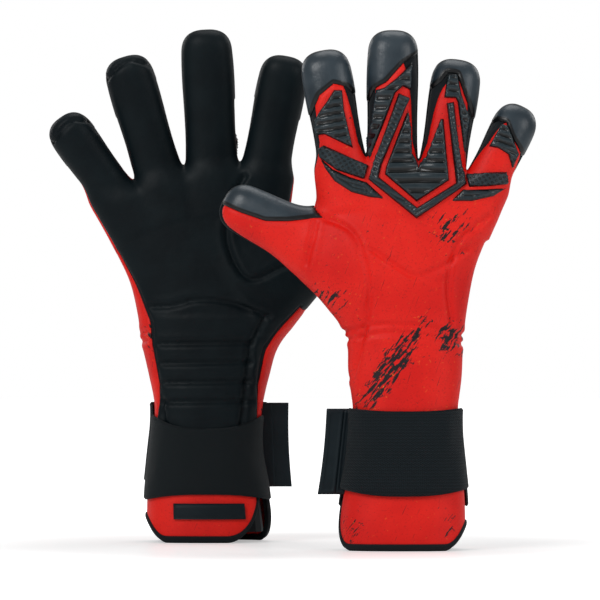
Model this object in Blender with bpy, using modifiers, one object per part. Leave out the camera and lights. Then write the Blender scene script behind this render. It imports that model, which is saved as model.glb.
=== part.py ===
"""A pair of football goalkeeper gloves standing on their cuffs, one showing its back and one its palm.

Each glove is layered as it is sewn: a thin liner with its finger stalls inside, then latex foam on the palm side
and a foam panel on the back, then raised silicone pads, a wrist band, and an opening strap with its pull tab.

In a glove's own frame +X is towards the little finger, +Y is the palm side and +Z runs up the fingers.
Lengths are in millimetres and are scaled to metres where the meshes are made.
"""

import math

import bmesh
import bpy

MM = 0.001

# Layers. A lift is a distance outwards from the glove's outer form.
PANEL = 3.2  # latex palm and foam back
LINER = 1.5  # knitted liner and its stalls
BANDAGE = 2.0  # stretch cuff under the skirt
WEBBING = 2.0  # strap and wrist band
PAD = 1.6  # raised silicone
LAYER_GAP = 0.85  # between one layer and the next, which also covers their facets
PAD_GAP = 0.5
SEAM = 0.6  # between panels that meet edge to edge

LINER_LIFT = -(PANEL + LAYER_GAP)
HOOK = 1.2  # hook patch under the strap
STRAP_LIFT = PAD_GAP + HOOK + 0.4 + WEBBING

# Wrist.
CUFF_BOTTOM = 6.0
CUFF_TOP = 61.0
SKIRT_TOP = 79.0
STRAP_HEIGHT = 48.0
STRAP_BOTTOM = 31.0
BAND_BOTTOM = 27.0
BINDING = 5.0
TAB_REACH = 12.0
TAB_THICKNESS = 2.4
HEM_SIDE_RISE = 13.0
HEM_CORNER_RISE = 22.0
SLIT_BACK_EDGE = -0.53  # where the skirt starts and ends, in half turns from the middle of the back
SLIT_PALM_EDGE = 1.3
STRAP_START = 0.485
STRAP_END = -0.47

# Fingers: half width, half thickness, and how far the closed tip takes to round over.
FINGER_WIDTHS = {"index": 13.0, "middle": 13.8, "ring": 13.0, "little": 11.5, "thumb": 13.4}
FINGER_DEPTH = 12.0
TIP_ROUNDING = 13.0
CURL = 5.0  # how far a tip leans towards the palm
CAP_SHARE = 0.74  # the share of the straight stall below the latex that wraps over the tip

FINGERS = ("index", "middle", "ring", "little")
FINGER_SIDES = 12
BACK_HALF_ANGLE = 0.34  # the back panel's half width in half turns
PALM_HALF_ANGLE = 0.52  # the latex's, measured from the palm side

SIDE_LINES = (0.27, 0.35, 0.38, 0.46)  # where the seams run near the hand's sides, in half turns from its middle
FORM_POWER = 3.0  # the hand's section is a rounded oblong
FINGER_POWER = 2.3
ARCH_FROM = 185.0  # the rows above this follow the knuckle line

HAND_THICKNESS = ((0, 25), (8, 25), (30, 24), (80, 21), (120, 19), (150, 19), (181, 17), (214, 12.8))

# Each glove: where it stands, its side edges as (height, thumb side, little finger side), its index and middle
# finger's shared root corner, the gap between neighbouring roots, and each finger's (tilt towards the little finger in
# degrees, length).
GLOVES = {
    "near": {
        "place": (63.55, -55.0),
        "turn": 0.0,
        "edges": (
            (0, -36.5, 33.5), (8, -36.5, 33.5), (30, -34, 33), (55, -29.5, 30), (80, -28.6, 29.2), (95, -30.5, 31),
            (120, -32.5, 32.3), (140, -41.5, 35), (157, -58, 38.5), (181, -45, 47.5), (195, -45.5, 51.5),
        ),
        "thumb_rows": (157, 181),
        "root": (-21.5, 213.0),
        "gap": 1.0,
        "fingers": {
            "index": (-10.0, 66.0), "middle": (0.5, 77.0), "ring": (8.9, 62.0), "little": (26.5, 49.0),
            "thumb": (None, 56.0),
        },
    },
    "far": {
        "place": (-48.45, 55.0),
        "turn": 180.0,
        "edges": (
            (0, -36.5, 33.5), (8, -36.5, 33.5), (30, -34, 33), (55, -30, 30), (80, -32, 29), (95, -35.5, 32),
            (113, -41, 36), (130, -51, 38.5), (147, -63, 42.5), (172, -47, 54), (186, -46, 59.5),
        ),
        "thumb_rows": (147, 172),
        "root": (-18.6, 212.6),
        "gap": 3.4,
        "fingers": {
            "index": (-11.0, 66.0), "middle": (2.6, 79.0), "ring": (16.5, 70.5), "little": (35.5, 54.0),
            "thumb": (None, 58.0),
        },
    },
}

COLOURS = {
    "latex": ((0.018, 0.022, 0.027), 0.55),
    "foam": ((0.62, 0.012, 0.012), 0.5),
    "silicone": ((0.012, 0.02, 0.026), 0.35),
    "liner": ((0.01, 0.011, 0.013), 0.85),
    "webbing": ((0.013, 0.017, 0.021), 0.8),
    "rubber": ((0.014, 0.018, 0.023), 0.45),
}


def clear_scene():
    for old in list(bpy.data.objects):
        bpy.data.objects.remove(old)


def make_materials():
    made = {}
    for name, (colour, roughness) in COLOURS.items():
        material = bpy.data.materials.new(name)
        material.use_nodes = True
        shader = material.node_tree.nodes["Principled BSDF"]
        shader.inputs["Base Color"].default_value = (*colour, 1)
        shader.inputs["Roughness"].default_value = roughness
        shader.inputs["Metallic"].default_value = 0.0
        made[name] = material
    return made


def between(table, x, column=1):
    """The table's value at x, on straight lines between its rows."""
    for low, high in zip(table, table[1:]):
        if x <= high[0]:
            share = max(0.0, (x - low[0]) / (high[0] - low[0]))
            return low[column] + share * (high[column] - low[column])
    return table[-1][column]


def smooth(x):
    x = min(1.0, max(0.0, x))
    return x * x * (3 - 2 * x)


def rounded(value, power):
    """One coordinate of a superellipse's unit section."""
    return math.copysign(abs(value) ** (2 / power), value)


def section(turn, power):
    """A point on the unit section, turn half turns from the middle of the back, towards the little finger."""
    angle = math.pi * turn
    return rounded(math.sin(angle), power), -rounded(math.cos(angle), power)


def lay_out(glove):
    """Places the finger roots side by side, so that widths, gaps and the knuckle line always agree."""
    roots = {}
    corner, gap = glove["root"], glove["gap"] / 2
    for name in ("index", "middle", "ring", "little"):
        tilt, length = glove["fingers"][name]
        tilt = math.radians(tilt)
        across = (math.cos(tilt), -math.sin(tilt))
        width = FINGER_WIDTHS[name]
        side = -1 if name == "index" else 1
        start = corner[0] + side * gap, corner[1]
        centre = (start[0] + side * width * across[0], start[1] + side * width * across[1])
        roots[name] = {"centre": centre, "tilt": tilt, "length": length, "width": width}
        if side > 0:
            corner = (centre[0] + (width + gap) * across[0], centre[1] + width * across[1])
    low, high = glove["thumb_rows"]
    lower = between(glove["edges"], low), low
    upper = between(glove["edges"], high), high
    tilt = math.atan2(upper[0] - lower[0], upper[1] - lower[1]) - math.pi / 2
    out = -1.0  # tucked into the opening in the side of the hand
    centre = (
        (lower[0] + upper[0]) / 2 + out * math.sin(tilt),
        (lower[1] + upper[1]) / 2 + out * math.cos(tilt),
    )
    roots["thumb"] = {
        "centre": centre,
        "tilt": tilt,
        "length": glove["fingers"]["thumb"][1],
        "width": FINGER_WIDTHS["thumb"],
    }
    return roots


def root_corner(root, side):
    """A root's corner in the glove's plane: side -1 is the thumb side and 1 the little finger's."""
    x, z = root["centre"]
    reach = side * root["width"]
    return x + reach * math.cos(root["tilt"]), z - reach * math.sin(root["tilt"])


class Form:
    """The outer form of one glove, which every layer is lifted from."""

    def __init__(self, glove):
        self.roots = lay_out(glove)
        line = [root_corner(self.roots["index"], -1), root_corner(self.roots["index"], 1)]
        line += [root_corner(self.roots[name], 1) for name in ("middle", "ring", "little")]
        self.knuckles = line
        self.top = max(z for _, z in line)
        self.edges = (*glove["edges"], (self.top, line[0][0], line[-1][0]))
        self.thumb_rows = glove["thumb_rows"]

    def steepness(self, height, column):
        """How much further across a layer lies where the edge slopes, to keep its distance."""
        beside = [(low, high) for low, high in zip(self.edges, self.edges[1:]) if low[0] <= height <= high[0]]
        return max((math.hypot(1, (high[column] - low[column]) / (high[0] - low[0])) for low, high in beside), default=1)

    def hand(self, turn, height, lift):
        """A point of the hand or cuff. The rows under the fingers bend to follow the knuckle line."""
        left = between(self.edges, height, 1) - lift * self.steepness(height, 1)
        right = between(self.edges, height, 2) + lift * self.steepness(height, 2)
        across, through = section(turn, FORM_POWER)
        x = (left + right) / 2 + (right - left) / 2 * across
        y = (between(HAND_THICKNESS, height) + lift) * through
        drop = self.top - between(self.knuckles, x)
        return x, y, height - drop * smooth((height - ARCH_FROM) / (self.top - ARCH_FROM))

    def finger(self, name, turn, row, lift):
        """A point of a finger stall. Rows run 0 to 1 up the straight part, then 1 to 2 over the rounded tip."""
        root = self.roots[name]
        straight = root["length"] - TIP_ROUNDING
        angle = math.radians(90 * max(0.0, row - 1))
        shrink = max(0.0, math.cos(angle)) ** (2 / FINGER_POWER)
        along = SEAM + straight * min(row, 1.0)
        along += (TIP_ROUNDING - SEAM + lift) * math.sin(angle) ** (2 / FINGER_POWER)
        across, through = section(turn, FINGER_POWER)
        across *= (root["width"] + lift) * shrink
        y = (FINGER_DEPTH + lift) * shrink * through + CURL * (along / root["length"]) ** 2
        x, z = root["centre"]
        sine, cosine = math.sin(root["tilt"]), math.cos(root["tilt"])
        return x + across * cosine + along * sine, y, z - across * sine + along * cosine

    def turn_at(self, x):
        """The line round the back that passes x at the knuckles."""
        left, right = self.edges[-1][1:]
        share = (x - (left + right) / 2) / ((right - left) / 2)
        return math.asin(rounded(share, 4 / FORM_POWER)) / math.pi

    def hand_turns(self):
        """Lines round the hand: the seams' own, one at each gap between two fingers, and a few between."""
        back = [side * line for side in (-1, 1) for line in SIDE_LINES]
        back += [self.turn_at(x) for x, _ in self.knuckles[1:-1]]
        back += [sum(pair) / 2 for pair in zip(sorted(back), sorted(back)[1:]) if pair[1] - pair[0] > 0.14]
        back = [-0.5, *sorted(back), 0.5]
        return back + [1 - turn for turn in reversed(back[1:-1])] + [1.5]

    def rows(self, start, end):
        """Heights from start to end, with every height between them where the form bends."""
        return [start, *(row[0] for row in self.edges if start + 1 < row[0] < end - 1), end]


def hem_height(turn):
    """The cuff's cut edge: level at the middle of the back and palm, higher at the side and at the slit's corners."""
    side = HEM_SIDE_RISE * max(0.0, 1 - ((turn - 0.5) / 0.3) ** 2) ** 2
    from_end = min(turn - SLIT_BACK_EDGE, SLIT_PALM_EDGE - turn)
    return side + HEM_CORNER_RISE * max(0.0, 1 - from_end / 0.22) ** 2


def evenly(start, end, count):
    return [start + (end - start) * i / count for i in range(count + 1)]


def skin(name, point, turns, rows, thickness, material, keep=None, round_again=False):
    """A shell: a grid of points on the form, the cells that keep() picks, thickened inwards."""
    bm = bmesh.new()
    bmesh.ops.create_grid(bm, x_segments=len(turns) - 1, y_segments=len(rows) - 1, size=0.5)
    for face in list(bm.faces):
        middle = face.calc_center_median()
        column = int((middle.x + 0.5) * (len(turns) - 1))
        row = int((middle.y + 0.5) * (len(rows) - 1))
        turn = (turns[column] + turns[column + 1]) / 2
        if keep and not keep(turn, (rows[row] + rows[row + 1]) / 2):
            bm.faces.remove(face)
    bmesh.ops.delete(bm, geom=[v for v in bm.verts if not v.link_faces], context="VERTS")
    for vertex in bm.verts:
        column = round((vertex.co.x + 0.5) * (len(turns) - 1))
        row = round((vertex.co.y + 0.5) * (len(rows) - 1))
        vertex.co = [MM * value for value in point(turns[column], rows[row])]
    bmesh.ops.remove_doubles(bm, verts=bm.verts, dist=0.01 * MM)
    mesh = bpy.data.meshes.new(name)
    bm.to_mesh(mesh)
    bm.free()
    made = bpy.data.objects.new(name, mesh)
    thicken = made.modifiers.new("thickness", "SOLIDIFY")
    thicken.thickness = thickness * MM
    thicken.offset = -1
    thicken.use_even_offset = False
    return dress(made, material)


def dress(made, material):
    made.data.materials.append(MATERIALS[material])
    made.data.shade_smooth()
    GLOVE_PARTS.objects.link(made)
    return made


def finger_rows():
    return [0.0, 0.36, CAP_SHARE - 0.03, CAP_SHARE, 1.0, 1.36, 1.7, 2.0]


def from_palm(turn):
    """Half turns between this line and the middle of the palm side."""
    return abs((turn - 1 + 1) % 2 - 1)


def build_finger(label, form, name):
    """One finger: its stall, the latex that wraps over its tip, and its back panel."""
    turns = evenly(-0.5, 1.5, FINGER_SIDES)
    rows = finger_rows()

    def at(lift):
        return lambda turn, row: form.finger(name, turn, row, lift)

    def is_latex(turn, row):
        return from_palm(turn) < PALM_HALF_ANGLE or row > CAP_SHARE

    def is_back(turn, row):
        return 1 - from_palm(turn) < BACK_HALF_ANGLE and row < rows[2]

    return [
        skin(f"{label}_{name}_stall", at(LINER_LIFT), turns, rows, LINER, "liner"),
        skin(f"{label}_{name}_latex", at(0), turns, rows, PANEL, "latex", is_latex),
        skin(f"{label}_{name}_back", at(0), turns, rows, PANEL, "foam", is_back),
    ]


def build_hand(label, form):
    """The hand's liner, its palm latex with the wear panel below, its back panel, and the silicone knuckle pads."""
    turns = form.hand_turns()
    low, high = form.thumb_rows
    rows = form.rows(SKIRT_TOP + SEAM, form.top)
    rows.insert(-1, (rows[-2] + form.top) / 2)
    palm_from = max(row for row in rows if row < low - 10)
    wear_rows = [row for row in rows if row <= palm_from]

    def at(lift):
        return lambda turn, height: form.hand(turn, height, lift)

    def thumb_hole(turn, height):
        return low < height < high and min(abs(turn + 0.5), abs(turn - 1.5)) < 0.1

    def is_palm(turn, height):
        return from_palm(turn) < SIDE_LINES[3] and height > palm_from and not thumb_hole(turn, height)

    def is_wear(turn, height):
        return from_palm(turn) < SIDE_LINES[1] and height < palm_from

    def is_back(turn, height):
        reach = SIDE_LINES[2] if height < palm_from else 1 - SIDE_LINES[3]
        return from_palm(turn) > reach and not thumb_hole(turn, height)

    liner_rows = [CUFF_TOP + SEAM, *form.rows(CUFF_TOP + SEAM, form.top)[1:-1], rows[-2], form.top]
    pad_rows = [form.top - 30, form.top - 20, form.top - 10, form.top - 1]
    left, crotch_one, _, crotch_three, right = [x for x, _ in form.knuckles]

    def pad(name, start, end, rows):
        """A raised pad on the back, between two distances across the knuckles."""
        lines = [form.turn_at(x) for x in evenly(start, end, 5)]
        return skin(f"{label}_{name}", at(PAD + PAD_GAP), lines, rows, PAD, "silicone")

    return [
        skin(f"{label}_hand_liner", at(LINER_LIFT), turns, liner_rows, LINER, "liner",
             lambda turn, height: not thumb_hole(turn, height)),
        skin(f"{label}_palm_latex", at(0), turns, [palm_from + SEAM, *rows[rows.index(palm_from) + 1:]], PANEL,
             "latex", is_palm),
        skin(f"{label}_wear_panel", at(-SEAM), turns, [*wear_rows[:-1], palm_from - SEAM], PANEL - SEAM,
             "latex", is_wear),
        skin(f"{label}_back_panel", at(0), turns, rows, PANEL, "foam", is_back),
        pad("knuckle_shield", crotch_one + SEAM, crotch_three - SEAM, pad_rows),
        pad("index_pad", left + 4, crotch_one - SEAM, pad_rows[1:]),
        pad("little_pad", crotch_three + SEAM, right - 4, pad_rows[1:]),
    ]


def build_wrist(label, form):
    """The stretch cuff, the slit skirt with its bound hem, the band, and the strap that swings open."""
    round_turns = evenly(-0.5, 1.5, 20)
    skirt_turns = [SLIT_BACK_EDGE, *evenly(-0.5, SLIT_PALM_EDGE, 18)]

    def at(lift):
        return lambda turn, height: form.hand(turn, height, lift)

    def skirt_point(turn, height):
        return form.hand(turn, max(height, hem_height(turn) + BINDING + 3 * SEAM), 0)

    def binding_point(turn, share):
        return form.hand(turn, hem_height(turn) + share * BINDING, 0)

    strap_rows = form.rows(STRAP_BOTTOM, STRAP_BOTTOM + STRAP_HEIGHT)
    band_rows = form.rows(BAND_BOTTOM, BAND_BOTTOM + STRAP_HEIGHT)
    band_turns = [1 - STRAP_START, *evenly(0.6, 1.4, 8)]
    strap_turns = [STRAP_END, *evenly(-0.4, 0.4, 8), STRAP_START]
    hook_turns = [STRAP_END, -0.4, -0.3, -0.2]
    return [
        skin(f"{label}_cuff", at(LINER_LIFT), round_turns, form.rows(CUFF_BOTTOM, CUFF_TOP), BANDAGE, "liner"),
        skin(f"{label}_cuff_skirt", skirt_point, skirt_turns, form.rows(0, SKIRT_TOP), PANEL, "foam"),
        skin(f"{label}_hem_binding", binding_point, skirt_turns, [0, 1], PANEL + SEAM, "webbing"),
        skin(f"{label}_pull_patch", at(PAD + PAD_GAP), evenly(0.87, 1.2, 4), [13, 24], PAD, "rubber"),
        skin(f"{label}_wrist_band", at(PAD_GAP + WEBBING), band_turns, band_rows, WEBBING, "webbing"),
        skin(f"{label}_strap", at(STRAP_LIFT), strap_turns, strap_rows, WEBBING, "webbing"),
        skin(f"{label}_hook_patch", at(PAD_GAP + HOOK), hook_turns,
             form.rows(strap_rows[0] + 4, strap_rows[-1] - 4), HOOK, "rubber"),
        build_tab(label, form, strap_rows),
    ]


def build_tab(label, form, rows):
    """The grip at the strap's free end: a moulded plate that stands out from the thumb side of the wrist."""
    low, high = (form.hand(STRAP_END, row, STRAP_LIFT) for row in (rows[0], rows[-1]))
    bpy.ops.mesh.primitive_cube_add(size=1)
    tab = bpy.context.active_object
    for holder in tab.users_collection:
        holder.objects.unlink(tab)
    tab.name = f"{label}_pull_tab"
    for vertex in tab.data.vertices:
        side, through, up = vertex.co
        x = (high if up > 0 else low)[0] - SEAM - TAB_REACH * (0.5 - side)
        y = (low[1] + high[1]) / 2 + TAB_THICKNESS * through
        z = (rows[0] + rows[-1]) / 2 + (rows[-1] - rows[0]) * up
        vertex.co = (x * MM, y * MM, z * MM)
    soften = tab.modifiers.new("rounded", "BEVEL")
    soften.width = 0.8 * MM
    soften.segments = 2
    return dress(tab, "rubber")


def build_glove(label, glove):
    """One whole glove, parented to an empty that stands it in its place."""
    form = Form(glove)
    parts = [part for name in (*FINGERS, "thumb") for part in build_finger(label, form, name)]
    parts += build_hand(label, form)
    parts += build_wrist(label, form)
    stand = bpy.data.objects.new(f"{label}_glove", None)
    GLOVE_PARTS.objects.link(stand)
    stand.location = (glove["place"][0] * MM, glove["place"][1] * MM, 0)
    stand.rotation_euler = (0, 0, math.radians(glove["turn"]))
    for part in parts:
        part.parent = stand
    return form


clear_scene()
GLOVE_PARTS = bpy.data.collections.new("goalkeeper_gloves")
bpy.context.scene.collection.children.link(GLOVE_PARTS)
MATERIALS = make_materials()
FORMS = {label: build_glove(label, glove) for label, glove in GLOVES.items()}
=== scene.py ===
# %% [markdown]
# # A pair of goalkeeper gloves, standing on their cuffs
# The packed frame gives the bodies that move: the hands, ten fingers, two straps and two tabs. A real glove is
# latex foam and knit, cut in panels and sewn. It could be modelled panel by panel, but then the seams would
# hardly meet. So each glove is grown as one smooth skin from soft shapes that melt together, and is then cut
# along its seams into the panels that a glove maker would cut.

import math

import bmesh
import bpy
import numpy as np
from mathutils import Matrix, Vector, noise
from mathutils.bvhtree import BVHTree
from mathutils.geometry import delaunay_2d_cdt
from mathutils.kdtree import KDTree


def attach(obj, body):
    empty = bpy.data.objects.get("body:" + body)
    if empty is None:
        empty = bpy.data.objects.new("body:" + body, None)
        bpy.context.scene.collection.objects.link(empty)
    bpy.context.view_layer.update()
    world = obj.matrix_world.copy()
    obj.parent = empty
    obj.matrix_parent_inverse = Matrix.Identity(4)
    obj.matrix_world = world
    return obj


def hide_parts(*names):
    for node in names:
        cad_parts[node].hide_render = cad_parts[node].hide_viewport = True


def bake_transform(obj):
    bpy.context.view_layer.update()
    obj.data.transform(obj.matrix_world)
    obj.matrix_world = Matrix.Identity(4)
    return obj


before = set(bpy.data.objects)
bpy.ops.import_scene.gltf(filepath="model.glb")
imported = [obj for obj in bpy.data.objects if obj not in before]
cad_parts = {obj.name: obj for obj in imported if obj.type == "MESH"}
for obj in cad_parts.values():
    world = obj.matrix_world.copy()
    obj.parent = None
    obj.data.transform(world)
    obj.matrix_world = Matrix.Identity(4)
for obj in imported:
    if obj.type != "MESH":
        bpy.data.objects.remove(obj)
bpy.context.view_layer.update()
MM = 0.001
FINGERS = ("index", "middle", "ring", "little", "thumb")

# %% [markdown]
# Two right hands are built, one seen from its back and one turned round to show its palm. Their measures are
# kept in millimetres, in a frame of each glove's own: X towards the little finger, Y towards the palm and Z up
# the fingers. One table of widths and one of fingers per glove is easier to adjust than points on a mesh.

# %% Measures of the two gloves
# Each row of "edges" is a height and the hand's two sides there. A finger is its root (across, up), its tilt in
# degrees, its length, and its half width at the root and at the tip.
GLOVES = {
    "near": {
        "place": (63.55, -55.0), "turn": 1,
        "edges": [(0, -36.5, 33.5), (8, -36.5, 33.5), (30, -34, 33), (55, -29.5, 30), (80, -28.6, 29.2),
                  (95, -30.5, 31), (120, -32.5, 32.3), (140, -41.5, 35), (157, -54, 38.5),
                  (181, -46, 47.5), (195, -46, 51.5), (222, -47, 57)],
        "fingers": {
            "index": ((-34.8, 215.3), -10.0, 64.0, 13.4, 12.6), "middle": ((-7.2, 213.1), 0.5, 76.5, 14.3, 12.6),
            "ring": ((20.4, 210.9), 8.9, 63.0, 13.2, 12.4), "little": ((44.1, 203.0), 26.5, 49.0, 12.0, 10.6),
            "thumb": ((-51.5, 169.0), -61.5, 56.0, 14.6, 12.0),
        },
    },
    "far": {
        "place": (-48.45, 55.0), "turn": -1,
        "edges": [(0, -36.5, 33.5), (8, -36.5, 33.5), (30, -34, 33), (55, -30, 30), (80, -32, 29),
                  (95, -35.5, 32), (113, -41, 36), (130, -51, 38.5), (147, -60, 42.5), (170, -47, 53),
                  (186, -46, 59.5), (222, -47, 70)],
        "fingers": {
            "index": ((-33.6, 211.5), -11.0, 65.5, 13.6, 12.4), "middle": ((-3.4, 212.5), 2.6, 78.5, 14.6, 13.2),
            "ring": ((26.5, 207.9), 16.5, 70.5, 13.6, 12.6), "little": ((51.7, 197.3), 35.5, 53.5, 12.4, 11.4),
            "thumb": ((-54.5, 159.5), -57.5, 58.0, 14.6, 12.2),
        },
    },
}
THICKNESS = [(0, 25), (8, 25), (30, 24), (55, 22.5), (80, 21), (120, 19.5), (150, 19), (181, 16.5),
             (214, 12.8), (235, 11.5)]  # height, half thickness
print("middle fingertips at:", [glove["fingers"]["middle"][0][1] + glove["fingers"]["middle"][2]
                                for glove in GLOVES.values()], "mm")

# %% [markdown]
# Soft goods have no hard corners. Three small helpers give that softness: a curve that runs smoothly through a
# table, a step with eased ends, and a fillet between two shapes. A fourth rolls the edge of a panel over.

# %% Curves and fillets
def bend_through(table, x, column=1):
    """A smooth curve through the rows of a table."""
    xs = np.array([row[0] for row in table], float)
    ys = np.array([row[column] for row in table], float)
    slope = np.gradient(ys, xs)
    x = np.clip(x, xs[0], xs[-1])
    i = np.clip(np.searchsorted(xs, x) - 1, 0, len(xs) - 2)
    step = xs[i + 1] - xs[i]
    t = (x - xs[i]) / step
    return (
        ys[i] * (2 * t**3 - 3 * t**2 + 1) + slope[i] * step * (t**3 - 2 * t**2 + t)
        + ys[i + 1] * (3 * t**2 - 2 * t**3) + slope[i + 1] * step * (t**3 - t**2)
    )


def smooth(x):
    """A step from 0 to 1 with eased ends."""
    x = np.clip(x, 0, 1)
    return x * x * (3 - 2 * x)


def rolled(gap, reach):
    """A quarter round, from 0 at an edge to 1 at that reach inside it."""
    return np.sqrt(np.clip(1 - (1 - np.clip(gap / reach, 0, 1)) ** 2, 0, 1))


def melt(a, b, reach):
    """Joins two shapes with a fillet of that reach."""
    h = np.maximum(reach - np.abs(a - b), 0) / reach
    return np.minimum(a, b) - h * h * reach / 4


print("half thickness at the strap:", round(float(bend_through(THICKNESS, 55)), 1), "mm")

# %% [markdown]
# A padded finger is a squarish oblong in section, a little narrower in its middle, with a blunt sewn tip that
# curls to the palm. A rounded box or a tapered cylinder would need sculpting to look like that. A distance-like
# formula gives the section directly: below zero inside the finger and above zero outside.

# %% The shape of a finger
SIDE_POWER = 2.5  # 2 would be an ellipse, more is squarer
TIP_POWER = 2.7
TIP_LENGTH = 12.5
HALF_THICK = 12.4
CURL = 5.0
THUMB_BALL = 26  # how far below its root the thumb widens
ROOT_REACH = {True: 34, False: 22}  # how deep a root goes into the hand, for the thumb and for the others


def finger_frame(glove, name, p):
    """Along, across and through a finger, for points of the glove's frame."""
    (x0, z0), tilt, *_ = glove["fingers"][name]
    s, c = math.sin(math.radians(tilt)), math.cos(math.radians(tilt))
    dx, dz = p[..., 0] - x0, p[..., 2] - z0
    return dx * s + dz * c, dx * c - dz * s, p[..., 1]


def finger_shape(glove, name, p):
    _, _, length, root, tip = glove["fingers"][name]
    along, across, through = finger_frame(glove, name, p)
    share = np.clip(along / length, 0, 1)
    half = root + (tip - root) * share**1.4 - 0.5 * np.sin(share * math.pi * 2)
    deep = HALF_THICK - 1.5 * share**2
    if name == "thumb":
        ball = np.clip(-along / THUMB_BALL, 0, 1)
        half = half + 5.5 * ball
        deep = deep + 2.5 * ball
    cap = np.maximum(along - (length - TIP_LENGTH), 0) / TIP_LENGTH
    flat = np.abs((through - CURL * share**2) / deep)
    side = (np.abs(across / half) ** SIDE_POWER + flat**SIDE_POWER) ** (1 / SIDE_POWER)
    body = (side**TIP_POWER + cap**TIP_POWER) ** (1 / TIP_POWER) - 1
    back = -(along + ROOT_REACH[name == "thumb"]) / 12
    return np.maximum(body, back) * np.minimum(half, deep)


print("finger lengths:", [values[2] for values in GLOVES["near"]["fingers"].values()], "mm")

# %% [markdown]
# The hand is the same kind of oblong, drawn up the table of widths and rounded off over the knuckles. The four
# fingers melt only a little into each other, so that the gaps between them stay, while the thumb flows into
# the ball of the hand with a wide fillet.

# %% The shape of a hand and of the whole glove
HAND_POWER = 2.7


def knuckle_height(glove, x):
    roots = [glove["fingers"][n][0] for n in FINGERS[:4]]
    return np.interp(x, [r[0] for r in roots], [r[1] for r in roots])


def hand_shape(glove, p):
    x, y, z = p[..., 0], p[..., 1], p[..., 2]
    left, right = bend_through(glove["edges"], z, 1), bend_through(glove["edges"], z, 2)
    half, deep = (right - left) / 2, bend_through(THICKNESS, z)
    wide = np.abs((x - (left + right) / 2) / half)
    side = (wide**HAND_POWER + np.abs(y / deep) ** HAND_POWER) ** (1 / HAND_POWER) - 1
    over = z - (knuckle_height(glove, x) + 1.0)
    return -melt(-side * np.minimum(half, deep), -over, 9.0)


def glove_shape(glove, p):
    fingers = None
    for name in FINGERS[:4]:
        one = finger_shape(glove, name, p)
        fingers = one if fingers is None else melt(fingers, one, 2.2)
    hand = melt(hand_shape(glove, p), finger_shape(glove, "thumb", p), 13.0)
    return melt(hand, fingers, 7.0)


palm_middle = np.array([[0.0, 0.0, 140.0]])
print("the palm's middle lies", round(-float(glove_shape(GLOVES["near"], palm_middle)[0]), 1), "mm inside")

# %% [markdown]
# A formula has to become a mesh. Metaballs could do it, but they can't be given such sections. Here the formula
# is sampled on a fine lattice, and a skin is drawn through the cells that it crosses, one point to a cell. A
# few relaxing steps, each followed by a step back onto the true surface, leave an even mesh.

# %% Grow the skin
LATTICE = 1.3  # millimetres between samples


def grow(field, low, high, step):
    axes = [np.arange(a, b + step, step) for a, b in zip(low, high)]
    grid = np.stack(np.meshgrid(*axes, indexing="ij"), -1)
    value = field(grid).astype(np.float32)
    inside = value < 0
    n = np.array(value.shape) - 1
    total = np.zeros((*n, 3), np.float32)
    count = np.zeros(n, np.float32)
    corners = [(i, j, k) for i in (0, 1) for j in (0, 1) for k in (0, 1)]

    def at(array, c):
        return array[c[0]: c[0] + n[0], c[1]: c[1] + n[1], c[2]: c[2] + n[2]]

    for a in corners:
        for axis in range(3):
            if a[axis] == 0:
                b = tuple(v + (i == axis) for i, v in enumerate(a))
                va, vb = at(value, a), at(value, b)
                cross = at(inside, a) != at(inside, b)
                t = np.where(cross, va / np.where(va == vb, 1, va - vb), 0)
                for i in range(3):
                    total[..., i] += np.where(cross, a[i] + (t if i == axis else 0), 0)
                count += cross
    used = count > 0
    index = np.full(n, -1)
    index[used] = np.arange(used.sum())
    cells = np.argwhere(used)
    points = (cells + total[used] / count[used][:, None]) * step + np.array(low)
    quads = []
    for axis in range(3):
        u, v = (axis + 1) % 3, (axis + 2) % 3
        here = np.take(inside, range(n[axis]), axis)
        first = np.argwhere(here != np.take(inside, range(1, n[axis] + 1), axis))
        keep = (first[:, u] > 0) & (first[:, v] > 0) & (first[:, u] < n[u]) & (first[:, v] < n[v])
        first = first[keep]
        du, dv = np.eye(3, dtype=int)[u], np.eye(3, dtype=int)[v]
        four = [first - du - dv, first - dv, first, first - du]
        quad = np.stack([index[tuple(c.T)] for c in four], 1)
        flip = ~inside[tuple(first.T)]
        quad[flip] = quad[flip][:, ::-1]
        quads.append(quad)
    return points, np.concatenate(quads)


def gradient(field, p, h=0.35):
    g = np.stack([field(p + h * e) - field(p - h * e) for e in np.eye(3)], -1)
    return g / np.maximum(np.linalg.norm(g, axis=1, keepdims=True), 1e-9)


def relax(field, points, quads, times=4):
    ends = np.concatenate([quads[:, [i, (i + 1) % 4]] for i in range(4)])
    for _ in range(times):
        near = np.zeros_like(points)
        many = np.zeros(len(points))
        for a, b in ((0, 1), (1, 0)):
            np.add.at(near, ends[:, a], points[ends[:, b]])
            np.add.at(many, ends[:, a], 1)
        points = points + 0.5 * (near / many[:, None] - points)
        slope = np.stack([field(points + 0.3 * e) - field(points - 0.3 * e) for e in np.eye(3)], -1) / 0.6
        size = np.maximum((slope**2).sum(1), 0.1)
        points = points - slope * (field(points) / size)[:, None]
    return points


print("lattice step:", LATTICE, "mm")

# %% [markdown]
# Panels are cut where a smooth field crosses zero. Picking faces would leave a seam that steps from one facet
# to the next. Instead every triangle that the line crosses is split on the line itself, so a seam is as clean
# as a knife cut, however coarse the mesh is.

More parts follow.
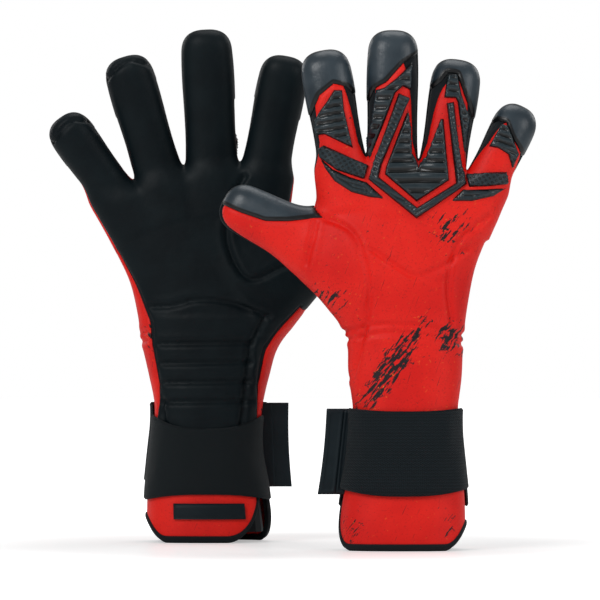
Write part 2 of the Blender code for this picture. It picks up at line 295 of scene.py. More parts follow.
# %% Cut along a seam
class Skin:
    """Points, triangles, what each triangle is, and values carried at the points."""

    def __init__(self, points, triangles, **values):
        self.p, self.t, self.v = points, triangles, values
        self.label = np.zeros(len(triangles), int)

    def split(self, name):
        """Splits the triangles that the value's zero line crosses."""
        f = self.v[name].copy()
        f[np.abs(f) < 0.02] = 0.02
        self.v[name] = f
        s = f[self.t] > 0
        mixed = s.any(1) & ~s.all(1)
        tri, lab = self.t[mixed], self.label[mixed]
        sign = s[mixed]
        lone = np.where(sign.sum(1)[:, None] == 1, sign, ~sign).argmax(1)
        rows = np.arange(len(tri))
        a, b, c = tri[rows, lone], tri[rows, (lone + 1) % 3], tri[rows, (lone + 2) % 3]
        pairs = np.sort(np.concatenate([np.stack([a, b], 1), np.stack([a, c], 1)]), 1)
        edges, back = np.unique(pairs, axis=0, return_inverse=True)
        back = back.reshape(-1)
        fa, fb = f[edges[:, 0]], f[edges[:, 1]]
        w = (fa / (fa - fb))[:, None]
        start = len(self.p)

        def mix(values):
            ww = w if values.ndim > 1 else w[:, 0]
            return np.concatenate([values, values[edges[:, 0]] * (1 - ww) + values[edges[:, 1]] * ww])

        self.p = mix(self.p)
        self.v = {k: mix(v) for k, v in self.v.items()}
        self.v[name][start:] = 0
        ab, ac = start + back[: len(tri)], start + back[len(tri):]
        new = np.concatenate([np.stack([a, ab, ac], 1), np.stack([ab, b, c], 1), np.stack([ab, c, ac], 1)])
        self.t = np.concatenate([self.t[~mixed], new])
        self.label = np.concatenate([self.label[~mixed], np.tile(lab, 3)])

    def middle(self, name):
        return self.v[name][self.t].mean(1)


probe = Skin(np.eye(3), np.array([[0, 1, 2]]), height=np.array([-1.0, 1.0, 1.0]))
probe.split("height")
print("one triangle, cut once, becomes", len(probe.t))

# %% [markdown]
# The finished points go to Blender in metres and in the shared frame. Each mesh also carries two values for its
# material: "spot", the place in the glove's own frame, so that a pattern stays with the cloth when a finger
# bends, and "rim". On a panel "rim" says how near its edge a point is. On a relief it falls to zero at the foot
# of its edge and in the hollows between the ribs, where the silicone is painted darker as shade. Both are plain
# attributes, which need no unwrapping.

# %% Hand a mesh to Blender
def make_mesh(name, points, faces, material, normals=None, places=None, rim=None):
    mesh = bpy.data.meshes.new(name)
    mesh.from_pydata((np.asarray(points) * MM).tolist(), [], np.asarray(faces).tolist())
    mesh.materials.append(material)
    mesh.shade_smooth()
    if places is not None:
        spot = mesh.attributes.new("spot", "FLOAT_VECTOR", "POINT")
        spot.data.foreach_set("vector", (np.asarray(places) * MM).astype(np.float32).ravel())
    if rim is not None:
        mesh.attributes.new("rim", "FLOAT", "POINT").data.foreach_set("value", np.asarray(rim, np.float32))
    if normals is not None:
        mesh.normals_split_custom_set_from_vertices(normals.tolist())
    made = bpy.data.objects.new(name, mesh)
    bpy.context.scene.collection.objects.link(made)
    return made


def to_world(glove, p):
    """From a glove's own frame to the shared one, both in millimetres."""
    out = np.array(p, float)
    for axis in (0, 1):
        out[..., axis] = out[..., axis] * glove["turn"] + glove["place"][axis]
    return out


def turn_only(glove, n):
    return np.asarray(n) * np.array([glove["turn"], glove["turn"], 1.0])


def point_normals(points, tri):
    """The mean outward direction at each point, or zero where no triangle meets it."""
    face = np.cross(points[tri[:, 1]] - points[tri[:, 0]], points[tri[:, 2]] - points[tri[:, 0]])
    total = np.zeros_like(points)
    for k in range(3):
        np.add.at(total, tri[:, k], face)
    return total / np.maximum(np.linalg.norm(total, axis=1, keepdims=True), 1e-9)


print("gloves stand at:", {label: glove["place"] for label, glove in GLOVES.items()})

# %% [markdown]
# The finishes are latex, printed foam, silicone, woven webbing and knit. Each is built from noise, waves and
# cells, so it stays sharp at any distance and carries no picture. A short class gives the node names that all
# of them use. A Finish is a material, and an Effect is a group that several materials share.

# %% Shader helpers
class Nodes:
    """Short names for building nodes, in a material or in a group."""

    def __init__(self, tree):
        self.tree = tree

    def add(self, kind, **settings):
        node = self.tree.nodes.new(kind)
        for key, value in settings.items():
            setattr(node, key, value)
        return node

    def attribute(self, name):
        return self.add("ShaderNodeAttribute", attribute_name=name).outputs

    def put(self, socket, value):
        """Links a socket, or gives it a plain value. A colour gets its fourth number here."""
        if isinstance(value, bpy.types.NodeSocket):
            self.tree.links.new(value, socket)
        elif value is not None:
            socket.default_value = (*value, 1) if socket.type == "RGBA" else value

    def math(self, operation, a, b=None, c=None, clamp=False):
        node = self.add("ShaderNodeMath", operation=operation, use_clamp=clamp)
        for socket, value in zip(node.inputs, (a, b, c)):
            self.put(socket, value)
        return node.outputs[0]

    def step(self, value, low, high):
        node = self.add("ShaderNodeMapRange", interpolation_type="SMOOTHSTEP")
        return self.fill(node, {"Value": value, "From Min": low, "From Max": high}, "Result")

    def fill(self, node, values, output):
        for key, value in values.items():
            self.put(node.inputs[key], value)
        return node.outputs[output]

    def mix(self, share, a, b):
        node = self.add("ShaderNodeMix", data_type="RGBA")
        return self.fill(node, {"Factor": share, "A": a, "B": b}, "Result")

    def mapped(self, scale, turn=(0, 0, 0)):
        """Places that are turned first, and then stretched along the new axes."""
        vector = self.spot
        for key, value in (("Rotation", turn), ("Scale", scale)):
            vector = self.fill(self.add("ShaderNodeMapping"), {"Vector": vector, key: value}, "Vector")
        return vector

    def noise(self, vector, scale, detail=3.0, rough=0.5):
        values = {"Vector": vector, "Scale": scale, "Detail": detail, "Roughness": rough}
        return self.fill(self.add("ShaderNodeTexNoise"), values, "Fac")

    def cells(self, vector, scale, scatter=1.0):
        values = {"Vector": vector, "Scale": scale, "Randomness": scatter}
        return self.fill(self.add("ShaderNodeTexVoronoi"), values, "Distance")

    def wave(self, vector, scale):
        node = self.add("ShaderNodeTexWave", bands_direction="Z", wave_profile="SIN")
        return self.fill(node, {"Vector": vector, "Scale": scale, "Distortion": 0.0}, "Fac")

    def xyz(self, vector=None):
        node = self.add("ShaderNodeSeparateXYZ")
        self.put(node.inputs[0], vector or self.spot)
        return node.outputs

    def bump(self, height, distance, strength=1.0, below=None):
        values = {"Strength": strength, "Distance": distance, "Height": height, "Normal": below}
        return self.fill(self.add("ShaderNodeBump"), values, "Normal")

    def use(self, effect, **values):
        """Places a shared group with values of its own."""
        node = self.add("ShaderNodeGroup", node_tree=effect.tree)
        for key, value in values.items():
            self.put(node.inputs[key], value)
        return node.outputs


class Finish(Nodes):
    """A material that knows each point's place in the glove's own frame."""

    def __init__(self, name):
        self.material = bpy.data.materials.new(name)
        self.material.use_nodes = True
        super().__init__(self.material.node_tree)
        self.shader = self.tree.nodes["Principled BSDF"]
        self.spot = self.attribute("spot")["Vector"]

    def finish(self, colour, gloss_mask, rough, normal, **fixed):
        """The roughness runs between two values with the mask."""
        roughness = self.math("MULTIPLY_ADD", gloss_mask, rough[1] - rough[0], rough[0])
        self.fill(self.shader, {"Base Color": colour, "Roughness": roughness, "Normal": normal}, "BSDF")
        for key, value in fixed.items():
            self.shader.inputs[key.replace("_", " ")].default_value = value
        return self.material


class Effect(Nodes):
    """A shader group with named inputs and outputs."""

    def __init__(self, name, inputs, outputs):
        super().__init__(bpy.data.node_groups.new(name, "ShaderNodeTree"))
        for side, sockets in (("INPUT", inputs), ("OUTPUT", outputs)):
            for socket, kind in sockets.items():
                self.tree.interface.new_socket(socket, in_out=side, socket_type="NodeSocket" + kind)
        self.given = self.add("NodeGroupInput").outputs
        self.result = self.add("NodeGroupOutput").inputs
        self.spot = self.given.get("Place")


print("helpers:", [name for name in vars(Nodes) if not name.startswith("_")])

# %% [markdown]
# Four effects come back in several finishes: a fine grain that roughens a surface, a colour that clouds from
# dark to light, a rim where the colour darkens, which is a bound edge on the fingertips and painted shade in
# the hollows of the silicone, and the crossed threads of a weave. Each is one group, so a change to it reaches
# every finish that uses it.

# %% Effects that the finishes share
NUMBER, PLACE, COLOUR = "Float", "Vector", "Color"
GRAIN = Effect("fine grain", {"Place": PLACE, "Size": NUMBER, "Detail": NUMBER, "Depth": NUMBER,
                              "Strength": NUMBER}, {"Value": NUMBER, "Normal": PLACE})
speck = GRAIN.noise(GRAIN.spot, GRAIN.given["Size"], GRAIN.given["Detail"])
GRAIN.put(GRAIN.result["Value"], speck)
GRAIN.put(GRAIN.result["Normal"], GRAIN.bump(speck, GRAIN.given["Depth"], GRAIN.given["Strength"]))

CLOUD = Effect("clouded colour", {"Place": PLACE, "Size": NUMBER, "Detail": NUMBER, "Dark": COLOUR,
                                  "Light": COLOUR}, {"Colour": COLOUR})
drift = CLOUD.step(CLOUD.noise(CLOUD.spot, CLOUD.given["Size"], CLOUD.given["Detail"]), 0.3, 0.7)
CLOUD.put(CLOUD.result["Colour"], CLOUD.mix(drift, CLOUD.given["Dark"], CLOUD.given["Light"]))

RIM_AND_PAINTED_SHADE = Effect("dark rim and painted shade", {"Rim": NUMBER, "Edge": NUMBER, "Clear": NUMBER, "Dark": COLOUR,
                          "Colour": COLOUR}, {"Colour": COLOUR})
inward = RIM_AND_PAINTED_SHADE.step(RIM_AND_PAINTED_SHADE.given["Rim"], RIM_AND_PAINTED_SHADE.given["Edge"], RIM_AND_PAINTED_SHADE.given["Clear"])
RIM_AND_PAINTED_SHADE.put(RIM_AND_PAINTED_SHADE.result["Colour"], RIM_AND_PAINTED_SHADE.mix(inward, RIM_AND_PAINTED_SHADE.given["Dark"], RIM_AND_PAINTED_SHADE.given["Colour"]))

WEAVE = Effect("crossed threads", {"Place": PLACE, "Threads": NUMBER, "Depth": NUMBER},
               {"Thread": NUMBER, "Fuzz": NUMBER, "Normal": PLACE})
slants = [WEAVE.wave(WEAVE.mapped((1, 1, 1), (0, math.radians(turn), 0)), WEAVE.given["Threads"])
          for turn in (32, -32)]
ribs = WEAVE.wave(WEAVE.spot, WEAVE.math("MULTIPLY", WEAVE.given["Threads"], 0.55))
thread = WEAVE.math("MULTIPLY", WEAVE.math("MAXIMUM", *slants), WEAVE.math("MULTIPLY_ADD", ribs, 0.5, 0.5))
fuzz = WEAVE.noise(WEAVE.spot, 1800, 3)
WEAVE.put(WEAVE.result["Thread"], thread)
WEAVE.put(WEAVE.result["Fuzz"], fuzz)
WEAVE.put(WEAVE.result["Normal"],
          WEAVE.bump(fuzz, 0.0001, 0.5, WEAVE.bump(thread, WEAVE.given["Depth"], 0.8)))
print("shader groups:", [group.name for group in bpy.data.node_groups])

# %% [markdown]
# The palm is nearly black latex with a faint bloom, and the fingertips are the same foam in a greyer, shinier
# coat with a dark bound edge. Two depths of grain do more for it than colour does: fine pores that blur the
# highlight and broad dents that break it up.

# %% Latex foam
def latex(name, colour, light, rough=(0.42, 0.58), gloss=0.16, edged=False):
    n = Finish(name)
    shade = n.use(CLOUD, Place=n.spot, Size=55, Detail=2, Dark=colour, Light=light)["Colour"]
    pores = n.use(GRAIN, Place=n.spot, Size=2400, Detail=2, Depth=0.00009, Strength=0.5)
    soft = n.noise(n.spot, 260, 3)
    normal = n.bump(soft, 0.0005, 0.35, pores["Normal"])
    if edged:
        rim = n.attribute("rim")["Fac"]
        shade = n.use(RIM_AND_PAINTED_SHADE, Rim=rim, Edge=2.0, Clear=2.7, Dark=(0.0015, 0.0025, 0.0035), Colour=shade)["Colour"]
    return n.finish(shade, soft, rough, normal, Specular_IOR_Level=gloss)


PALM = latex("palm_latex", (0.0018, 0.0055, 0.0078), (0.0035, 0.0088, 0.0115))
CAP = latex("fingertip_latex", (0.015, 0.026, 0.036), (0.035, 0.052, 0.066), (0.28, 0.4), 0.5, True)
RUBBER = latex("moulded_rubber", (0.007, 0.013, 0.017), (0.011, 0.019, 0.024), (0.4, 0.55))
print("latex:", PALM.name, CAP.name, RUBBER.name)

# %% [markdown]
# The back is red foam with a printed pattern of dark sprays, long scratches and warm flecks. Random marks all
# over would look like dirt. So each spray is stretched noise that shows only where a soft patch allows it, and
# the patches lie where the print is heaviest: above the strap, at the hand's edge and by the thumb.

# %% Printed red foam
SPRAYS = ((0.025, 0.118, 0.017, 1.15), (-0.041, 0.14, 0.02, 0.9), (0.026, 0.18, 0.02, 0.9),
          (-0.026, 0.012, 0.02, 0.8), (0.024, 0.014, 0.016, 0.7))  # across, up, size in metres, strength


def fading(n, distance, rate, power=1):
    """A share that falls from the power at no distance to nothing."""
    share = n.math("SUBTRACT", 1, n.math("MULTIPLY", distance, rate), clamp=True)
    return share if power == 1 else n.math("MULTIPLY", share, power)


def spray_places(n):
    """Where the print is heavy: a band that climbs from the thumb side, and a few round patches."""
    x, _, z = n.xyz()
    across = n.math("MULTIPLY_ADD", x, -1.17, n.math("ADD", z, -0.111))
    reach = fading(n, n.math("ABSOLUTE", n.math("ADD", x, 0.008)), 33)
    band = fading(n, n.math("ABSOLUTE", across), 52)
    where = n.math("MULTIPLY", band, n.math("MULTIPLY", reach, 1.9), clamp=True)
    for px, pz, size, power in SPRAYS:
        gaps = [n.math("POWER", n.math("ABSOLUTE", n.math("SUBTRACT", value, middle)), 2)
                for value, middle in ((x, px), (z, pz))]
        where = n.math("MAXIMUM", where, fading(n, n.math("SQRT", n.math("ADD", *gaps)), 1 / size, power))
    return where


def printed_foam(name):
    n = Finish(name)
    red = n.use(CLOUD, Place=n.spot, Size=30, Detail=3, Dark=(0.78, 0.007, 0.004), Light=(0.94, 0.016, 0.008))
    fine = n.noise(n.spot, 900, 4, 0.6)
    red = n.mix(n.math("MULTIPLY", n.step(fine, 0.52, 0.72), 0.35), red["Colour"], (0.36, 0.006, 0.006))
    streak = n.noise(n.mapped((70, 70, 420), (0, math.radians(52), 0)), 1.5, 5, 0.62)
    blot = n.noise(n.mapped((220, 220, 300)), 1.0, 5, 0.7)
    where = spray_places(n)
    marks = n.math("MULTIPLY_ADD", streak, 0.75, n.math("MULTIPLY", blot, 0.25))
    mask = n.step(n.math("ADD", n.math("MULTIPLY", where, 0.2), marks), 0.67, 0.69)
    red = n.mix(mask, red, (0.012, 0.012, 0.015))
    spots = n.step(n.math("ADD", n.math("MULTIPLY", where, 0.1), blot), 0.675, 0.70)
    red = n.mix(spots, red, (0.02, 0.014, 0.016))
    warm = n.step(n.noise(n.mapped((300, 300, 500), (0, 0.6, 0)), 1.3, 4, 0.65), 0.655, 0.68)
    warm = n.math("MULTIPLY", warm, n.math("MULTIPLY_ADD", where, 0.7, 0.3), clamp=True)
    red = n.mix(warm, red, (0.9, 0.22, 0.03))
    scratch = n.step(n.noise(n.mapped((34, 34, 900), (0, math.radians(70), 0)), 2.0, 4, 0.6), 0.665, 0.69)
    red = n.mix(n.math("MULTIPLY", scratch, 0.7), red, (0.2, 0.006, 0.008))
    weave = n.use(GRAIN, Place=n.spot, Size=2600, Detail=2, Depth=0.00012, Strength=0.6)
    normal = n.bump(n.noise(n.spot, 140, 2), 0.0008, 0.3, weave["Normal"])
    return n.finish(red, fine, (0.42, 0.6), normal, Specular_IOR_Level=0.28)


RED = printed_foam("printed_red_foam")
print("foam:", RED.name, "with", len(SPRAYS), "patches of spray")

# %% [markdown]
# The shield over the knuckles and the ribs on the fingers are moulded silicone: dark, with a soft shine, and
# painted nearly black as shade in the hollows between the ribs. The two side pads carry a field of small round
# dimples, which is an even grid of cells pressed in by a bump and painted darker as shade, since real holes
# would cost thousands of faces.

# %% Moulded silicone
def silicone(name, colour, dots, rough, coat):
    n = Finish(name)
    soft = n.use(GRAIN, Place=n.spot, Size=420, Detail=2, Depth=0.0002, Strength=0.3)
    normal = soft["Normal"]
    shade = n.mix(soft["Value"], colour, tuple(v * 1.6 for v in colour))
    # Painted shade: the colour goes near black in the hollows between the ribs and at the foot of the edge.
    rim = n.attribute("rim")["Fac"]
    shade = n.use(RIM_AND_PAINTED_SHADE, Rim=rim, Edge=0.1, Clear=0.8, Dark=(0.0006, 0.0012, 0.0016), Colour=shade)["Colour"]
    if dots:
        hollow = n.cells(n.mapped((1, 0.001, 1), (0, math.radians(30), 0)), 430, 0.0)
        hollow = n.step(hollow, 0.2, 0.36)
        normal = n.bump(hollow, 0.0007, 1.0, normal)
        # Painted shade: each dimple is darkened to about a third of the colour.
        shade = n.mix(hollow, tuple(v * 0.35 for v in colour), shade)
    return n.finish(shade, soft["Value"], rough, normal, Coat_Weight=coat, Coat_Roughness=0.25)


SILICONE = silicone("ribbed_silicone", (0.009, 0.019, 0.025), False, (0.26, 0.36), 0.15)
SILICONE_DOTTED = silicone("dotted_silicone", (0.009, 0.019, 0.025), True, (0.32, 0.45), 0.1)
print("silicone:", SILICONE.name, SILICONE_DOTTED.name)

# %% [markdown]
# The strap is coarse woven elastic, and the gussets, the wrist band and the bound edges are finer knit. The
# same crossed threads serve for all four, at their own size and depth, with a little fuzz and a very faint
# sheen, so that they stay matt beside the latex. On each weave the threads' crowns are painted light and the
# gaps between them dark, as painted light and shade.

# %% Woven webbing and knit
def woven(name, colour, light, size, depth):
    n = Finish(name)
    cloth = n.use(WEAVE, Place=n.spot, Threads=size, Depth=depth)
    normal = n.bump(n.noise(n.spot, 70, 2), 0.0012, 0.35, cloth["Normal"])
    # Painted light and shade: the colour runs from dark in the gaps between threads to light on their crowns, with
    # the fuzz as random tone.
    lit = n.math("MULTIPLY", cloth["Thread"], n.math("MULTIPLY_ADD", cloth["Fuzz"], 0.8, 0.4), clamp=True)
    return n.finish(n.mix(lit, colour, light), cloth["Fuzz"], (0.62, 0.86), normal,
                    Specular_IOR_Level=0.18, Sheen_Weight=0.06, Sheen_Roughness=0.5)


WEBBING = woven("woven_webbing", (0.0012, 0.003, 0.0045), (0.012, 0.022, 0.028), 330, 0.0006)
KNIT = woven("gusset_knit", (0.004, 0.006, 0.008), (0.014, 0.02, 0.025), 900, 0.0002)
BAND = woven("wrist_elastic", (0.004, 0.007, 0.0085), (0.009, 0.015, 0.018), 1200, 0.00012)
BINDING = woven("bound_edge", (0.004, 0.006, 0.008), (0.013, 0.018, 0.022), 1100, 0.0002)
print("cloth:", [cloth.name for cloth in (WEBBING, KNIT, BAND, BINDING)])

# %% [markdown]
# Now each glove's skin is grown and cut. The latex of a roll-finger glove wraps over the fingertip to the back,
# the red foam covers the back of the hand, and narrow knit gussets join the two at the sides. Smooth fields
# carry these seams, and the straight cut at the wrist is hidden under the strap.

# %% Where the seams run
# The thumb's seam as (along, across), then the wrapped latex's edge on each finger's back as (across, along).
THUMB_LINE = [(-8, 22), (0, 19), (6.6, 15), (19, 6.3), (30, 0.4), (43.7, -2), (55, -3), (64, -3)]
CAP_LINES = {
    "index": [(-16, 24), (-14.9, 26.6), (-6, 40.1), (3, 45.2), (10, 42.1), (14, 36)],
    "middle": [(-14, 36), (-11, 43), (-8.7, 45.2), (-3.6, 48.0), (5.6, 58.5), (13.4, 64.0)],
    "ring": [(-13, 45), (-8, 50), (-5, 55.5), (0, 55.5), (5, 46), (11.5, 34.8), (14.5, 28)],
    "little": [(-12, 33), (-10, 36), (-5, 37.5), (1.4, 31.4), (8.4, 27.2), (12, 24)],
}
WRIST_CUT = 56.0
PALM_REACH = -3.5  # the palm's latex never comes further round to the back than this
BOX_LOW, BOX_HIGH = (-112.0, -28.0, WRIST_CUT - 2), (101.0, 32.0, 297.0)
PANELS = {"back": 0, "latex": 1, "cap": 2, "gusset": 3}


def side_depth(z):
    """How far round the side the back panel comes: past the middle on the hand, short of it on the fingers."""
    return np.interp(z, [60, 90, 125, 155, 195, 212, 227], [8, 13.5, 13.0, 6.5, 2.0, -2.5, -8.0])


def cap_field(glove, points, owner):
    """Above zero on the part of each finger that the wrapped latex covers."""
    cap = np.full(len(points), -9.0)
    for i, name in enumerate(FINGERS):
        along, across, _ = finger_frame(glove, name, points)
        if name == "thumb":
            value = np.where(along > -4, across - np.interp(along, *zip(*THUMB_LINE)), -9)
        else:
            longer = glove["fingers"][name][2] - GLOVES["near"]["fingers"][name][2]
            edge = np.interp(across, *zip(*CAP_LINES[name])) + longer
            value = np.where(along > 0, along - edge, -9)
        cap = np.where(owner == i, value, cap)
    return cap


print("panels:", list(PANELS))

# %% [markdown]
# Each glove is cut four times, and each triangle is then named for its panel. How far every point lies from the
# nearest seam is measured once, because the padding, the grooves and the bound edges all depend on it.

# %% Grow and cut both gloves
def make_skin(label):
    glove = GLOVES[label]

    def field(p):
        return glove_shape(glove, p)

    points, quads = grow(field, BOX_LOW, BOX_HIGH, LATTICE)
    points = relax(field, points, quads)
    tri = np.concatenate([quads[:, [0, 1, 2]], quads[:, [0, 2, 3]]])
    skin = Skin(points, tri, normal=gradient(field, points))
    shapes = np.stack([finger_shape(glove, n, points) for n in FINGERS], 1)
    owner = np.where(shapes < 6, shapes, 99).argmin(1)
    _, y, z = points.T
    thumb = ((owner == 4) & (finger_frame(glove, "thumb", points)[0] > -14)) * 1.0
    inner = np.maximum(side_depth(z), PALM_REACH) * (1 - thumb) - 1.5 * thumb
    skin.v["back"] = side_depth(z) * (1 - thumb) - 1.5 * thumb - y
    skin.v["palm"] = y - inner - np.interp(z, [180, 225], [1.4, 5.0])
    skin.v["cap"] = cap_field(glove, points, owner)
    skin.v["wrist"] = z - WRIST_CUT
    for seam in ("wrist", "back", "palm", "cap"):
        skin.split(seam)
    keep = skin.middle("wrist") > 0
    skin.t = skin.t[keep]
    back, palm, caps = (skin.middle(seam) > 0 for seam in ("back", "palm", "cap"))
    skin.label = np.where(back, PANELS["back"], PANELS["gusset"])
    skin.label[palm] = PANELS["latex"]
    skin.label[caps & ~palm] = PANELS["cap"]
    return skin


def seam_distance(skin):
    """How far each point lies from the nearest seam, in millimetres."""

    edges = np.sort(np.concatenate([skin.t[:, [0, 1]], skin.t[:, [1, 2]], skin.t[:, [2, 0]]]), 1)
    side = np.tile(skin.label, 3)
    order = np.lexsort((edges[:, 1], edges[:, 0]))
    e, s = edges[order], side[order]
    same = (e[1:] == e[:-1]).all(1)
    seam = e[:-1][same & (s[1:] != s[:-1])]
    spots = np.unique(seam)
    tree = KDTree(len(spots))
    for i, vertex in enumerate(spots):
        tree.insert(skin.p[vertex], i)
    tree.balance()
    far = np.array([tree.find(point)[2] for point in skin.p])
    far[spots] = 0
    return far


SKINS = {}
for label in GLOVES:
    skin = make_skin(label)
    skin.far = seam_distance(skin)
    SKINS[label] = skin
    print(label, "skin points", len(skin.p), "triangles", len(skin.t))

# %% [markdown]
# Grooves are quilting lines pressed in the foam, and channels sewn across the heel of the palm. They could be
# painted in the material, but they catch the light, so they are real: each is a line in the flat of the hand,
# and the skin sinks along it.

# %% Pressed lines
def line_distance(points, line):
    """Distance in the flat of the hand from points to a chain of straight runs."""
    best = np.full(len(points), 99.0)
    q = points[:, [0, 2]]
    for a, b in zip(np.array(line[:-1], float), np.array(line[1:], float)):
        d = b - a
        t = np.clip(((q - a) @ d) / max(d @ d, 1e-9), 0, 1)
        best = np.minimum(best, np.linalg.norm(q - a - t[:, None] * d, axis=1))
    return best


def curve_through(points, per=8):
    """A smooth chain of points through a few."""
    p = np.array(points, float)
    p = np.concatenate([[2 * p[0] - p[1]], p, [2 * p[-1] - p[-2]]])
    out = []
    for i in range(1, len(p) - 2):
        for t in np.linspace(0, 1, per, endpoint=False):
            a, b, c, d = p[i - 1], p[i], p[i + 1], p[i + 2]
            curve = 2 * b + (c - a) * t + (2 * a - 5 * b + 4 * c - d) * t**2 + (3 * b - a - 3 * c + d) * t**3
            out.append(0.5 * curve)
    out.append(p[-2])
    return np.array(out)


BACK_LINES = [
    curve_through([(-49, 186), (-51, 176), (-55, 160)]),
    curve_through([(-47, 186), (-30, 178), (-22, 160), (-20, 140), (-24, 118), (-29, 96)]),
    curve_through([(-33, 122), (-12, 126), (12, 124.5), (35, 119)]),
    curve_through([(-33, 117.5), (-12, 121.5), (12, 120), (35, 114.5)]),
    curve_through([(46, 186), (30, 172), (24, 150), (26, 128)]),
    curve_through([(-19, 168), (-4, 158), (6, 153), (20, 158), (34, 168)]),
]
PALM_LINES = [
    curve_through([(37, 134), (20, 134.5), (4.5, 138), (-14, 136), (-36, 128.5)]),
    curve_through([(-46, 158), (-24, 150), (-12, 172), (-16, 196), (-22, 208)]),
    *[np.array([(-25, z + 0.6), (27, z)]) for z in (113, 102, 91, 80)],
    np.array([(-33, 127), (-25, 112), (-20, 68)]),
    np.array([(36, 131), (29, 112), (23, 68)]),
]
TIP_LINES = {  # where the wrapped latex ends near a fingertip, as (across, below the tip)
    "ring": [(14.6, 10.6), (8.5, 6.4), (2.8, 3.4), (-3.5, 2.4), (-12.0, 8.0)],
    "little": [(11.9, 8.9), (5.5, 6.6), (-0.5, 5.0), (-6.2, 5.4), (-12.3, 11.0)],
}
PANEL_RISE = {"cap": (1.1, 1.6, 0.15), "latex": (0.9, 2.2, 0.3), "back": (0.9, 2.6, 0.3)}  # height, reach, sunk
GROOVE = {"latex": 1.9, "back": 1.6}


def lift_of(skin, panel, label):
    """How far each point of a panel stands off the grown surface, in millimetres."""
    far = skin.far
    if panel == "gusset":
        return 0.3 * smooth(far / 2.0) - 0.5
    height, reach, sunk = PANEL_RISE[panel]
    lift = height * rolled(far, reach) - sunk
    if panel == "latex":
        z = skin.p[:, 2]
        puff = smooth((z - 66) / 4) * smooth((131 - z) / 4) * smooth((33 - np.abs(skin.p[:, 0] - 1)) / 6)
        lift = lift + 0.9 * puff * (skin.p[:, 1] > 5)
    if panel in ("latex", "back"):
        lines = PALM_LINES if panel == "latex" else BACK_LINES
        for line in lines:
            d = line_distance(skin.p, line)
            sink = GROOVE[panel] * smooth(far / 3.5) * np.exp(-((d / 1.5) ** 2))
            lift = lift - sink + 0.3 * np.exp(-(((d - 3.4) / 2.0) ** 2))
    if panel == "latex":
        for name, line in TIP_LINES.items():
            a, u, y = finger_frame(GLOVES[label], name, skin.p)
            d = line_distance(np.stack([u, u * 0, GLOVES[label]["fingers"][name][2] - a], 1), np.array(line))
            lift = lift - 1.6 * np.exp(-((d / 1.1) ** 2)) * (y > 0)
    return lift


print("grooves:", len(BACK_LINES), "on the back and", len(PALM_LINES), "on the palm")

# %% [markdown]
# The skin is handed out as pieces, one for each panel of the hand and one for each panel of each finger. A
# finger could be a separate part, but then a gap would open at its root when it flexes. So its pieces start
# just below the root crease.

# %% Make the panels
MATERIAL_OF = {"back": RED, "latex": PALM, "cap": CAP, "gusset": KNIT}
BEND_FROM, BEND_TO = 2.0, 17.0


def root_point(glove, name, along):
    (x, z), tilt, *_ = glove["fingers"][name]
    s, c = math.sin(math.radians(tilt)), math.cos(math.radians(tilt))
    return to_world(glove, (x + along * s, 8.0, z + along * c)) * MM


def follow(label, piece, name):
    """The piece rides on the hand, or, on a finger, is baked where it stands."""
    if name == "hand":
        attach(piece, "gloves")
    else:
        glove = GLOVES[label]
        start, end = (root_point(glove, name, along) for along in (BEND_FROM, BEND_TO))
        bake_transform(piece)


def owners(glove, points, reach):
    """Which finger each place belongs to: 0 to 4, or 5 for the hand."""
    alongs = np.stack([finger_frame(glove, n, points)[0] for n in FINGERS], 1)
    shapes = np.stack([finger_shape(glove, n, points) for n in FINGERS], 1)
    part = np.full(len(points), 5)
    for i in range(5):
        part[(alongs[:, i] > BEND_FROM) & (shapes[:, i] <= shapes.min(1) + 1e-6) & (shapes[:, i] < reach)] = i
    return part


def panel_pieces(label):
    glove, skin = GLOVES[label], SKINS[label]
    part = owners(glove, skin.p[skin.t].mean(1), 7)
    made = {}
    for panel, number in PANELS.items():
        lifts = lift_of(skin, panel, label)
        lifted = skin.p + skin.v["normal"] * lifts[:, None]
        whole = skin.t[skin.label == number]
        # Normals come from the whole panel, so that its pieces meet without a line.
        normals = point_normals(lifted, whole)
        normals = np.where(np.abs(normals).sum(1, keepdims=True) > 0.5, normals, skin.v["normal"])
        for i in range(6):
            chosen = (skin.label == number) & (part == i)
            if chosen.sum() < 30:
                continue
            ids, tri = np.unique(skin.t[chosen], return_inverse=True)
            name = (*FINGERS, "hand")[i]
            piece = make_mesh(f"{label}_{name}_{panel}_skin", to_world(glove, lifted[ids]), tri.reshape(-1, 3),
                              MATERIAL_OF[panel], turn_only(glove, normals[ids]), skin.p[ids], skin.far[ids])
            follow(label, piece, name)
            made[name, panel] = piece
    return made


PIECES = {label: panel_pieces(label) for label in GLOVES}
for label, made in PIECES.items():
    for name in FINGERS:
        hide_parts(f"{label}_{name}_latex", f"{label}_{name}_stall")
        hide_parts(f"{label}_{name}_back")
    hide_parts(f"{label}_palm_latex", f"{label}_wear_panel")
    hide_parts(f"{label}_back_panel", f"{label}_hand_liner")
    print(label, "panels:", len(made))

# %% [markdown]
# Raised silicone is moulded on the foam: a shield over the middle knuckles, ribs up each finger and pads at the
# sides. Each could be a solid pressed into the glove, but it would float or sink where the cloth curves. So a
# relief is an outline in the flat of the hand, filled with small triangles and laid on the skin.

# %% Outlines
def inside_outline(points, outline):
    x, y = points.T
    out = np.zeros(len(points), bool)
    n = len(outline)
    for i in range(n):
        (x1, y1), (x2, y2) = outline[i], outline[(i + 1) % n]
        cross = (y1 > y) != (y2 > y)
        out ^= cross & (x < (x2 - x1) * (y - y1) / (y2 - y1 + 1e-12) + x1)
    return out


def refine(outline, step):
    out = []
    for a, b in zip(outline, np.roll(outline, -1, 0)):
        count = max(1, int(np.linalg.norm(b - a) / step))
        out += [a + (b - a) * t for t in np.linspace(0, 1, count, endpoint=False)]
    return np.array(out)


def skin_tree(label):
    skin = SKINS[label]
    return BVHTree.FromPolygons(skin.p.tolist(), skin.t.tolist())


